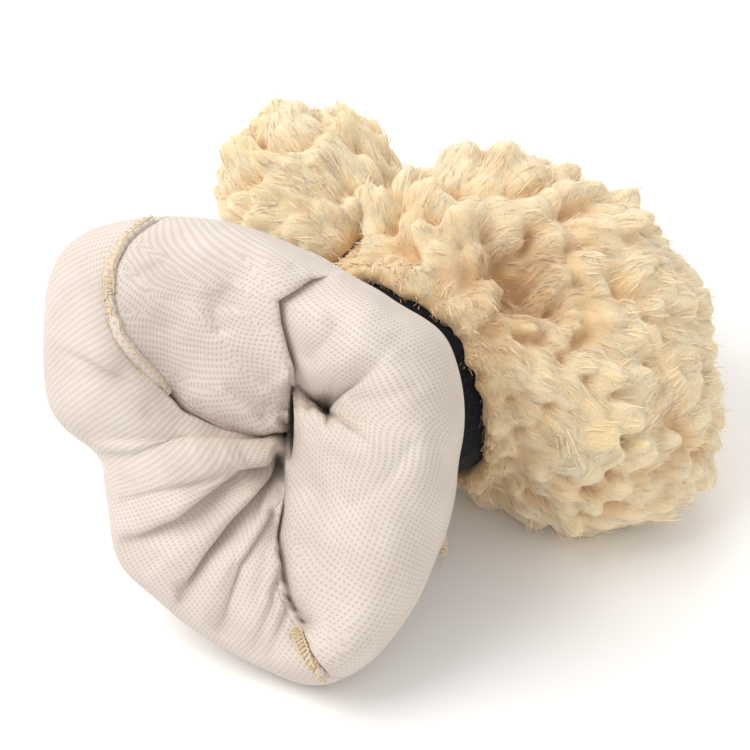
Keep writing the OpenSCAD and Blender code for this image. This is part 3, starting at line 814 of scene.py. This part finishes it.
def liner_sheet(start, end, cols):
    """One panel of the liner: from inside the cuff, out through the mouth, round the edge and back."""
    s = np.linspace(0, 1, cols)
    rows = []
    inner_angle = np.radians(start(0.0) + (end(0.0) - start(0.0)) * s)
    for k in range(THROAT_ROWS):
        u = k / THROAT_ROWS
        ring = ring_point(inner_angle, 12 - 64 * u, 14 - 3 * u, 2 + 8 * u)
        slit = on_face(SLIT[0] + SLIT[2] * np.cos(inner_angle), SLIT[1] + SLIT[3] * np.sin(inner_angle),
                       np.full(cols, -14.0))
        rows.append(ring * (1 - smooth((u - 0.5) / 0.5)) + slit * smooth((u - 0.5) / 0.5))
    for k in range(FRONT_ROWS):
        tau = k / (FRONT_ROWS - 1)
        t = 1 - (1 - tau) ** 1.25
        angle = np.radians(start(t) + (end(t) - start(t)) * s)
        rows.append(on_face(*front_point(angle, np.full(cols, t))))
    rim_angle = np.radians(start(1.0) + (end(1.0) - start(1.0)) * s)
    edge = outline_radius(rim_angle)
    around = np.stack([np.cos(rim_angle), np.sin(rim_angle), 0 * rim_angle], -1)
    for k in range(1, BACK_ROWS + 1):
        u = k / BACK_ROWS
        turn = u * math.pi / 2
        rho = edge * (0.52 + 0.48 * np.cos(turn))
        depth = (23 - 8 * np.cos(rim_angle - math.radians(50))) * np.sin(turn)
        gather = value_noise(around * 0.05 + u * 0.004, 0.0085, 80) * 3.2 * smooth(u / 0.5)
        height = rim_height(rim_angle) - depth + gather
        rows.append(on_face(rho * np.cos(rim_angle), rho * np.sin(rim_angle), height))
    last = rows[-1]
    for k in range(1, NECK_ROWS + 1):
        u = k / NECK_ROWS
        y = CUFF_MOUTH - 9 + (24 + CUFF_FRONT + 4) * max(u - 0.35, 0) / 0.65
        pucker = 1.1 * np.cos(rim_angle * 34 + 2 * np.sin(rim_angle * 5)) * smooth(u / 0.4)
        ring = ring_point(rim_angle, y, 33.5 - 2.5 * smooth(u / 0.6) + pucker)
        w = smooth(u / 0.4)
        rows.append(last * (1 - w) + ring * w)
    return np.stack(rows)


def eased(grid, rounds=2):
    """Takes the corners off a grid of cloth, leaving its edges and its inside where they are."""
    first = THROAT_ROWS + 2
    for _ in range(rounds):
        middle = grid[1:-1, 1:-1]
        around = (grid[:-2, 1:-1] + grid[2:, 1:-1] + grid[1:-1, :-2] + grid[1:-1, 2:]) / 4
        grid[first:-1, 1:-1] = (middle + 0.6 * (around - middle))[first - 1:]
        for edge in (0, -1):
            line = grid[:, edge].copy()
            beside = (line[first - 1:-2] + line[first + 1:]) / 2
            grid[first:-1, edge] = line[first:-1] + 0.5 * (beside - line[first:-1])
    return grid


def flat_pattern(grid, rounds=400):
    """Cloth coordinates (m) of a grid of points, eased until its threads keep their length."""
    cols = grid.shape[1]
    rel = grid - PINCH
    uv = np.stack([rel @ FACE_P, rel @ FACE_Q], -1)
    lead = np.cumsum(np.concatenate([[np.zeros(cols)], np.linalg.norm(np.diff(grid, axis=0), axis=-1)]), 0)
    angle = np.arctan2(uv[..., 1], uv[..., 0])[THROAT_ROWS + FRONT_ROWS - 1]
    spoke = np.stack([np.cos(angle), np.sin(angle)], -1)
    start = lead[THROAT_ROWS]
    uv = (lead - start)[..., None] * spoke[None] + 0.012 * spoke[None]
    pairs = [((slice(None), slice(0, -1)), (slice(None), slice(1, None))),
             ((slice(0, -1), slice(None)), (slice(1, None), slice(None))),
             ((slice(0, -1), slice(0, -1)), (slice(1, None), slice(1, None))),
             ((slice(0, -1), slice(1, None)), (slice(1, None), slice(0, -1)))]
    want = [np.linalg.norm(grid[a] - grid[b], axis=-1) for a, b in pairs]
    for _ in range(rounds):
        move = np.zeros_like(uv)
        for (a, b), length in zip(pairs, want):
            d = uv[b] - uv[a]
            now = np.linalg.norm(d, axis=-1)
            push = (d / np.maximum(now, 1e-7)[..., None]) * ((now - length) * 0.12)[..., None]
            move[a] += push
            move[b] -= push
        uv = uv + move
    return uv


def cloth_uv(obj, uv):
    """Writes cloth coordinates (m) as the mesh's UVs."""
    layer = obj.data.uv_layers.new(name="cloth")
    index = np.empty(len(obj.data.loops), np.int32)
    obj.data.loops.foreach_get("vertex_index", index)
    layer.data.foreach_set("uv", uv.reshape(-1, 2)[index].astype(np.float32).ravel())


def nonwoven_material():
    """Off-white spun-bonded cloth with its lattice of pressed dots."""
    m = Nodes("nonwoven")
    uv = m.add("ShaderNodeUVMap", uv_map="cloth").outputs[0]
    pitch = 0.0023
    turned = m.add("ShaderNodeMapping", {"Vector": uv})
    turned.inputs["Rotation"].default_value = (0, 0, math.radians(41))
    turned.inputs["Scale"].default_value = (2 * math.pi / pitch,) * 3
    xyz = m.add("ShaderNodeSeparateXYZ", {0: turned.outputs[0]})
    waves = [m.maths("MULTIPLY_ADD", m.maths("COSINE", xyz.outputs[k]), 0.5) for k in range(2)]
    for wave in waves:
        wave.node.inputs[2].default_value = 0.5
    dots = m.ramp(m.maths("MULTIPLY", waves[0], waves[1]), 0.22, 0.72)
    where = m.add("ShaderNodeNewGeometry").outputs["Position"]
    wear = m.add("ShaderNodeTexNoise", {"Vector": where, "Scale": 55.0, "Detail": 3.0}).outputs[0]
    fibre = m.add("ShaderNodeTexNoise", {"Vector": where, "Scale": 2600.0, "Detail": 2.0}).outputs[0]
    cloth = m.mix_colour(m.ramp(wear, 0.35, 0.65), rgba(0.61, 0.53, 0.472), rgba(0.665, 0.592, 0.533))
    cloth = m.mix_colour(m.maths("MULTIPLY", fibre, 0.25), cloth, rgba(0.72, 0.66, 0.61))
    colour = m.mix_colour(m.maths("MULTIPLY", dots, 0.42), cloth, rgba(0.40, 0.31, 0.245))
    height = m.maths("SUBTRACT", m.maths("MULTIPLY", fibre, 0.25), dots)
    m.bump(height, 0.55, 0.00025)
    m.set(Base_Color=colour, Roughness=0.78, Specular_IOR_Level=0.25)
    m.set(Sheen_Weight=0.12, Sheen_Roughness=0.4)
    return m.material


NONWOVEN = nonwoven_material()


CLOTH_THICKNESS = 0.35


def solid_cloth(obj, thickness):
    """Gives a sheet its thickness and applies it."""
    mod = obj.modifiers.new("thickness", "SOLIDIFY")
    mod.thickness, mod.offset = thickness * MM, -1
    done = bpy.data.meshes.new_from_object(obj.evaluated_get(bpy.context.evaluated_depsgraph_get()))
    old, name = obj.data, obj.data.name
    obj.modifiers.clear()
    obj.data = done
    bpy.data.meshes.remove(old)
    done.name = name
    return obj


def build_liner():
    def thumb(t):
        return table(THUMB_SEAM, t)

    def little(t):
        return table(LITTLE_SEAM, t)

    made = []
    for name, node, start, end, cols in (
        ("liner_cloth_back", "liner_back_panel", lambda t: little(t) - 360, thumb, 250),
        ("liner_cloth_palm", "liner_palm_panel", thumb, little, 170),
    ):
        grid = eased(liner_sheet(start, end, cols))
        grid[..., 2] = np.maximum(grid[..., 2], 0.0005)
        obj = mesh_object(name, grid.reshape(-1, 3), grid_faces(*grid.shape[:2]))
        cloth_uv(obj, flat_pattern(grid))
        obj.data.materials.append(NONWOVEN)
        solid_cloth(obj, CLOTH_THICKNESS)
        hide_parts(node)
        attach(obj, "liner")
        made.append(obj)
    return made


liner = build_liner()

# ---------------------------------------------------------------- seams, thread and small pieces
def swept_tube(points, radius, sides=8, closed=False):
    """A round cord along points (n, 3) in metres; radius in mm, one value or one for each point."""
    p = np.asarray(points, float)
    n = len(p)
    ahead = np.roll(p, -1, 0) - np.roll(p, 1, 0)
    if not closed:
        ahead[0], ahead[-1] = p[1] - p[0], p[-1] - p[-2]
    t = unit(ahead)
    up = np.zeros_like(p)
    ref = np.array([0.31, 0.17, 0.93])
    for k in range(n):
        ref = unit(ref - t[k] * (ref @ t[k]))
        up[k] = ref
    side = np.cross(t, up)
    a = np.linspace(0, 2 * np.pi, sides, endpoint=False)
    r = np.broadcast_to(np.asarray(radius, float) * MM, n)[:, None, None]
    spoke = np.cos(a)[None, :, None] * side[:, None] + np.sin(a)[None, :, None] * up[:, None]
    ring = p[:, None] + r * spoke
    verts = ring.reshape(-1, 3)
    faces = grid_faces(n, sides, wrap=True)
    if closed:
        j = np.arange(sides)
        k = (j + 1) % sides
        base = (n - 1) * sides
        faces = np.concatenate([faces, np.stack([base + j, base + k, k, j], -1)])
        return verts, [faces]
    verts = np.concatenate([verts, p[:1] - t[:1] * r[0, 0] * 0.6, p[-1:] + t[-1:] * r[-1, 0] * 0.6])
    j = np.arange(sides)
    k = (j + 1) % sides
    last = (n - 1) * sides
    caps = np.concatenate([np.stack([k, j, np.full(sides, len(verts) - 2)], -1),
                           np.stack([last + j, last + k, np.full(sides, len(verts) - 1)], -1)])
    return verts, [faces, caps]


def joined(name, meshes):
    verts, faces, base = [], [], 0
    for v, groups in meshes:
        verts.append(v)
        faces += [g + base for g in groups]
        base += len(v)
    return mesh_object(name, np.concatenate(verts), faces)


def thread_material(name, light, dark, scale):
    """Spun thread: twisted plies in two close tones."""
    m = Nodes(name)
    where = m.add("ShaderNodeNewGeometry").outputs["Position"]
    ply = m.add("ShaderNodeTexNoise", {"Vector": where, "Scale": scale, "Detail": 2.0}).outputs[0]
    colour = m.mix_colour(m.ramp(ply, 0.35, 0.65), rgba(*dark), rgba(*light))
    m.bump(ply, 0.5, 0.0002)
    return m.set(Base_Color=colour, Roughness=0.75, Sheen_Weight=0.2, Specular_IOR_Level=0.3)


THREAD = thread_material("overlock_thread", (0.82, 0.68, 0.44), (0.60, 0.44, 0.25), 1800.0)
BLACK_THREAD = thread_material("black_thread", (0.03, 0.03, 0.034), (0.008, 0.008, 0.01), 1800.0)


def seam_line(shown, table_rows, from_t, count):
    """Points along a seam on the front of the roll, with the way out of the cloth and the way across."""
    t = np.linspace(from_t, 0.965, count)
    angle = np.radians(table(table_rows, t))
    here = on_face(*front_point(angle, t))
    e = 0.02
    ahead = on_face(*front_point(np.radians(table(table_rows, np.minimum(t + e, 1))), np.minimum(t + e, 1)))
    along = unit(ahead - here)
    beside = on_face(*front_point(angle + shown * 0.05, t))
    across = unit(beside - here)
    across = unit(across - along * np.sum(across * along, 1, keepdims=True))
    out = np.cross(along, across)
    out *= np.sign(np.sum(out * FACE_H, 1, keepdims=True))
    return here, along, across, out


def build_allowance(which, here, across, out, length):
    """The two cut edges left showing along a seam."""
    n = len(here)
    wave = value_noise(here, 0.009, 55)
    profile = [(-0.5, 0.2), (0.1, 1.5), (0.9, 1.9), (1.9, 1.7), (2.9, 1.3), (3.6, 0.75), (3.7, 0.25)]
    layers = []
    for lift, width in ((0.0, 1.0), (0.65, 0.9)):
        sheet = np.stack([here + MM * ((a * width) * (1 + 0.1 * wave)[:, None] * across
                                       + (b * (1 + 0.25 * wave) + lift)[:, None] * out)
                          for a, b in profile], 1)
        layers.append((sheet.reshape(-1, 3), [grid_faces(n, len(profile))]))
    strip = joined("seam_edge_" + which, layers)
    along_it, over_it = np.linspace(0, length * MM, n), np.linspace(0, 0.005, len(profile))
    uv = np.stack(np.meshgrid(along_it, over_it, indexing="ij"), -1).reshape(-1, 2)
    cloth_uv(strip, np.concatenate([uv] * 2))
    strip.data.materials.append(NONWOVEN)
    solid_cloth(strip, CLOTH_THICKNESS)
    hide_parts("liner_seam_" + which)
    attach(strip, "liner")


def stitch_row(here, across, out, length, offset, sway, lift):
    """A line of thread beside a seam: stitches that sway to either side of it."""
    k = np.linspace(0, len(here) - 1, int(length * 1.2)).astype(int)
    beside = (offset + sway * np.cos(np.arange(len(k)) * np.pi))[:, None]
    return swept_tube(here[k] + MM * (beside * across[k] + lift * out[k]), 0.3, 5)


def build_overlock(which, here, along, across, out, length):
    """Overlock: a needle thread down the seam, loops over the raw edge and a hem stitch beside it."""
    loops = int(length / 2.1)
    steps = loops * 14
    phase = np.linspace(0, loops * 2 * np.pi, steps)
    at = np.linspace(0, len(here) - 1.001, steps)
    low = at.astype(int)
    f = (at - low)[:, None]
    h, ac, ou, al = (v[low] * (1 - f) + v[low + 1] * f for v in (here, across, out, along))
    reach = 1.85 + 1.75 * np.sin(phase)
    height = np.interp(reach, [0.1, 0.9, 1.9, 2.9, 3.6], [2.9, 3.2, 3.1, 2.7, 2.1])
    if which == "thumb_side":  # its inner half is tucked into the fold
        height = height - 2.2 * (1 - smooth((np.linspace(0, 1, steps) - 0.42) / 0.1))
    reach = reach + 0.15 * value_noise(h, 0.003, 56)
    sway = 0.75 * np.cos(phase)
    loop = h + MM * (reach[:, None] * ac + height[:, None] * ou + sway[:, None] * al)
    chain = stitch_row(here, across, out, length, 0.55, 0.12, 3.1)
    hem = stitch_row(here, across, out, length, 3.75, 0.1, 1.15)
    thread = joined("seam_overlock_" + which, [swept_tube(loop, 0.24, 5), chain, hem])
    thread.data.materials.append(THREAD)
    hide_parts("overlock_thread_" + which)
    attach(thread, "liner")


def build_seam(which, rows, side, from_t):
    """A liner side seam: the cut edges that show, then the thread over them."""
    here, along, across, out = seam_line(side, rows, from_t, 150)
    length = np.linalg.norm(np.diff(here, axis=0), axis=1).sum() / MM
    build_allowance(which, here, across, out, length)
    build_overlock(which, here, along, across, out, length)


build_seam("thumb_side", THUMB_SEAM, 1.0, 0.475)
build_seam("little_side", LITTLE_SEAM, -1.0, 0.76)


def knit_material():
    """Black brushed knit: fine ribs along the cuff, matt, with a little grey lint."""
    m = Nodes("black_knit")
    uv = m.add("ShaderNodeUVMap", uv_map="cloth").outputs[0]
    xyz = m.add("ShaderNodeSeparateXYZ", {0: uv})
    ribs = m.maths("SINE", m.maths("MULTIPLY", xyz.outputs[0], 2 * math.pi / 0.0016))
    stitches = m.maths("SINE", m.maths("MULTIPLY", xyz.outputs[1], 2 * math.pi / 0.0011))
    where = m.add("ShaderNodeNewGeometry").outputs["Position"]
    lint = m.add("ShaderNodeTexNoise", {"Vector": where, "Scale": 900.0, "Detail": 3.0}).outputs[0]
    colour = m.mix_colour(m.ramp(lint, 0.5, 0.75), rgba(0.006, 0.0065, 0.008), rgba(0.024, 0.025, 0.028))
    loops = m.maths("ADD", ribs, m.maths("MULTIPLY", stitches, 0.5))
    height = m.maths("ADD", loops, m.maths("MULTIPLY", lint, 2.0))
    m.bump(height, 0.3, 0.0002)
    m.set(Base_Color=colour, Roughness=0.95, Specular_IOR_Level=0.08)
    m.set(Sheen_Weight=0.06, Sheen_Roughness=0.6)
    return m.material


KNIT = knit_material()


def build_cuff():
    """The knitted cuff, folded back at the mouth and gathered a little by its elastic."""
    around, fold = 420, 3.9
    outer = CUFF_RADIUS - 0.35
    inner = outer - fold
    half = fold / 2
    profile = [(outer, CUFF_FRONT - 0.3 - (CUFF_FRONT - CUFF_MOUTH - half) * k / 22, 1.0) for k in range(23)]
    profile += [(outer - half + half * math.cos(a), CUFF_MOUTH + half - half * math.sin(a), math.cos(a) ** 2)
                for a in np.linspace(0.2, math.pi - 0.2, 9)]
    profile += [(inner, CUFF_MOUTH + half + (CUFF_FRONT - 0.3 - CUFF_MOUTH - half) * k / 18, 0.0)
                for k in range(19)]
    r, y, skin = (np.array(c)[:, None] for c in zip(*profile))
    a = np.linspace(0, 2 * np.pi, around, endpoint=False)[None]
    ring = np.stack([np.cos(a[0]), np.sin(a[0]), 0 * a[0]], -1) * 0.043
    gather = 0.35 * value_noise(ring[None] + np.array([0, 0, 1.0]) * y[..., None] * MM * 0.35, 0.005, 61)
    gather = gather + 0.04 * np.cos(a * 168)
    radius = r + skin * (gather - 0.2) + (1 - skin) * 0.3 * np.cos(a * 60)
    p = mitt(radius * np.sin(a), y + 0 * a, radius * np.cos(a))
    grid = p.reshape(-1, 3)
    rows = len(profile)
    faces = grid_faces(rows, around, wrap=True)
    j = np.arange(around)
    k = (j + 1) % around
    last = (rows - 1) * around
    lip = np.stack([last + j, last + k, k, j], -1)
    obj = mesh_object("knitted_cuff", grid, np.concatenate([faces, lip]))
    walk = np.concatenate([[0], np.cumsum(np.hypot(np.diff(r[:, 0]), np.diff(y[:, 0])))]) * MM
    shape = p.shape[:2]
    cloth_uv(obj, np.stack([np.broadcast_to(a * 0.043, shape), np.broadcast_to(walk[:, None], shape)], -1))
    obj.data.materials.append(KNIT)
    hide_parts("cuff_band")
    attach(obj, "hand")


build_cuff()


def build_pocket():
    """The liner's two panels still inside the hand: a soft pocket, a little crumpled."""
    start_y, knuckle, reach = 24.0, KNUCKLE_Y, 38.0
    for side, sign in (("back", 1), ("palm", -1)):
        u, g = np.meshgrid(np.linspace(0, 1, 60), np.linspace(-math.pi / 2, math.pi / 2, 90), indexing="ij")
        along = np.where(u < 0.55, start_y + (knuckle - start_y) * u / 0.55, knuckle)
        end = np.clip((u - 0.55) / 0.45, 0, 1) * math.pi / 2
        w = ease(36, 58, start_y, 36, along)
        t = ease(30, 28, start_y, 36, along)
        x = ease(4, HAND_X, start_y, 40, along) + w * np.sin(g)
        y = along + reach * np.cos(g) * np.sin(end)
        z = sign * t * np.cos(g) * np.where(end > 0, np.cos(end), 1.0)
        p = mitt(x, y, z)
        inward = unit(HAND_MIDDLE - p)
        rim = smooth(np.cos(g) / 0.25)
        crumple = 1.6 + 1.6 * value_noise(p, 0.013, 91) + 0.8 * value_noise(p, 0.006, 92)
        p = p + inward * ((0.4 + crumple * rim) * MM)[..., None]
        faces = grid_faces(*p.shape[:2])
        obj = mesh_object("pocket_cloth_" + side, p.reshape(-1, 3), faces[:, ::-1] if sign > 0 else faces)
        cloth_uv(obj, np.stack([g * 0.05, u * 0.09], -1))
        obj.data.materials.append(NONWOVEN)
        solid_cloth(obj, CLOTH_THICKNESS)
        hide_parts("pocket_" + side + "_panel")
        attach(obj, "hand")


build_pocket()


def build_tail():
    """The rolled end of the seam allowance below the cuff, with its loose threads."""
    route = np.array([(27.8, CUFF_MOUTH + 4, -37), (33, CUFF_MOUTH + 3.6, -41), (38, CUFF_MOUTH + 3, -45),
                      (40.6, CUFF_MOUTH + 1.6, -50), (42, CUFF_MOUTH, -55)])
    k = np.linspace(0, 1, 60)
    at = np.linspace(0, 1, len(route))
    line = np.stack([np.interp(k, at, route[:, c]) for c in range(3)], -1)
    for _ in range(12):
        line[1:-1] = (line[:-2] + line[1:-1] + line[2:]) / 3
    line = CUFF + MM * line
    knots = 1.55 + 0.45 * np.sin(k * 40) ** 2 + 0.25 * np.sin(k * 93)
    turn = k * 26
    side = np.stack([np.cos(turn), np.sin(turn), 0 * turn], -1)
    meshes = [swept_tube(line, knots, 12), swept_tube(line + side * (knots * MM)[:, None] * 0.9, 0.42, 6),
              swept_tube(line - side * (knots * MM)[:, None] * 0.9, 0.42, 6)]
    g = np.random.default_rng(71)
    for _ in range(5):
        start = line[-1 - g.integers(0, 12)]
        way = unit(np.array([g.uniform(-0.5, 0.9), g.uniform(-0.9, 0.2), g.uniform(-0.6, 0.3)]))
        steps = np.linspace(0, 1, 9)[:, None]
        s = steps[:, 0]
        curl = np.stack([0.6 * np.sin(s * 7), 0.6 * np.cos(s * 6) - 0.6, 0 * s], -1)
        meshes.append(swept_tube(start + (way * steps * g.uniform(3, 6) + curl) * MM, 0.14, 5))
    obj = joined("seam_tail_roll", meshes)
    obj.data.materials.append(thread_material("rolled_edge", (0.80, 0.71, 0.55), (0.60, 0.49, 0.33), 900.0))
    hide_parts("liner_seam_tail")
    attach(obj, "hand")


build_tail()


def woven_elastic_material():
    """White woven elastic: ribs round it over rubber threads."""
    m = Nodes("woven_elastic")
    where = m.add("ShaderNodeNewGeometry").outputs["Position"]
    ribs = {"Vector": where, "Scale": 260.0, "Distortion": 0.6}
    wave = m.add("ShaderNodeTexWave", ribs, bands_direction="Y")
    colour = m.mix_colour(wave.outputs[1], rgba(0.62, 0.60, 0.56), rgba(0.80, 0.79, 0.75))
    m.bump(wave.outputs[1], 0.5, 0.0003)
    return m.set(Base_Color=colour, Roughness=0.7)


def backing_material():
    """Knitted backing of the pile fabric, seen at its cut and turned-in edges."""
    m = Nodes("pile_backing")
    where = m.add("ShaderNodeNewGeometry").outputs["Position"]
    loops = m.add("ShaderNodeTexVoronoi", {"Vector": where, "Scale": 700.0}).outputs[0]
    colour = m.mix_colour(m.ramp(loops, 0.1, 0.6), rgba(0.84, 0.70, 0.46), rgba(0.62, 0.44, 0.24))
    m.bump(loops, 0.6, 0.0005)
    return m.set(Base_Color=colour, Roughness=0.92, Sheen_Weight=0.3)


def dress_cad_nodes():
    for node, material in (
        ("cuff_elastic", woven_elastic_material()), ("cuff_shell_stitch", BLACK_THREAD),
        ("cuff_mouth_stitch", BLACK_THREAD), ("hand_seam_allowance", backing_material()),
    ):
        obj = bpy.data.objects[node]
        obj.data.materials.clear()
        obj.data.materials.append(material)


dress_cad_nodes()


# ---------------------------------------------------------------- riding: the thumb's pile is attached to the thumb; the hand's pile is only baked in place
BEND_BEFORE, BEND_AFTER = 26, 36  # fabric either side of the knuckle line, mm
for obj in hand_pile:
    tuple(mitt(HAND_X, KNUCKLE_Y - BEND_BEFORE, 0.0))
    tuple(mitt(HAND_X, KNUCKLE_Y + BEND_AFTER, 0.0))
    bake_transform(obj)
for obj in thumb_pile:
    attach(obj, "thumb")


# ---------------------------------------------------------------- stage, light and camera
def build_stage():
    me = bpy.data.meshes.new("floor")
    half = 3.0
    corners = [(-half, -half, 0), (half, -half, 0), (half, half, 0), (-half, half, 0)]
    me.from_pydata(corners, [], [(0, 1, 2, 3)])
    floor = bpy.data.objects.new("floor", me)
    bpy.context.scene.collection.objects.link(floor)
    m = Nodes("floor_paper")
    paper = m.set(Base_Color=rgba(0.93, 0.925, 0.92), Roughness=0.9, Specular_IOR_Level=0.1)
    floor.data.materials.append(paper)
    floor.location.z = -0.0005


def area_light(name, position, target, size, power, colour=(1, 1, 1)):
    data = bpy.data.lights.new(name, "AREA")
    data.shape = "SQUARE"
    data.size, data.energy, data.color = size, power, colour
    obj = bpy.data.objects.new(name, data)
    obj.location = position
    obj.rotation_mode = "QUATERNION"
    obj.rotation_quaternion = (Vector(target) - Vector(position)).to_track_quat("-Z", "Y")
    bpy.context.scene.collection.objects.link(obj)


def build_light():
    world = bpy.data.worlds.new("studio")
    world.use_nodes = True
    world.node_tree.nodes["Background"].inputs[0].default_value = rgba(1.0, 0.99, 0.98)
    world.node_tree.nodes["Background"].inputs[1].default_value = 0.75
    bpy.context.scene.world = world
    middle = (0, 0, 0.06)
    area_light("key", (-0.35, -0.75, 1.15), middle, 0.9, 13.0, (1.0, 0.985, 0.96))
    area_light("fill", (1.2, 0.1, 0.8), middle, 1.0, 2.5, (1.0, 0.99, 0.98))
    area_light("rim", (-0.9, 0.9, 0.9), middle, 0.8, 6.0)


CAMERA_AZIMUTH, CAMERA_ELEVATION = math.radians(50), math.radians(42)
CAMERA_DISTANCE = 1.15
FRAME_WIDTH = 0.300  # width of the picture at the cuff
AIM_LEFT = 0.0168


def build_camera():
    a, e = CAMERA_AZIMUTH, CAMERA_ELEVATION
    right = np.array([math.cos(a), math.sin(a), 0])
    back = np.array([math.sin(a) * math.cos(e), -math.cos(a) * math.cos(e), math.sin(e)])
    target = CUFF - right * AIM_LEFT
    data = bpy.data.cameras.new("camera")
    data.lens = data.sensor_width * CAMERA_DISTANCE / FRAME_WIDTH
    data.clip_start, data.clip_end = 0.05, 20
    camera = bpy.data.objects.new("camera", data)
    camera.location = target + back * CAMERA_DISTANCE
    camera.rotation_mode = "QUATERNION"
    camera.rotation_quaternion = Vector(-back).to_track_quat("-Z", "Y")
    bpy.context.scene.collection.objects.link(camera)
    bpy.context.scene.camera = camera


build_stage()
build_light()
build_camera()
bpy.context.scene.view_settings.view_transform = "Standard"
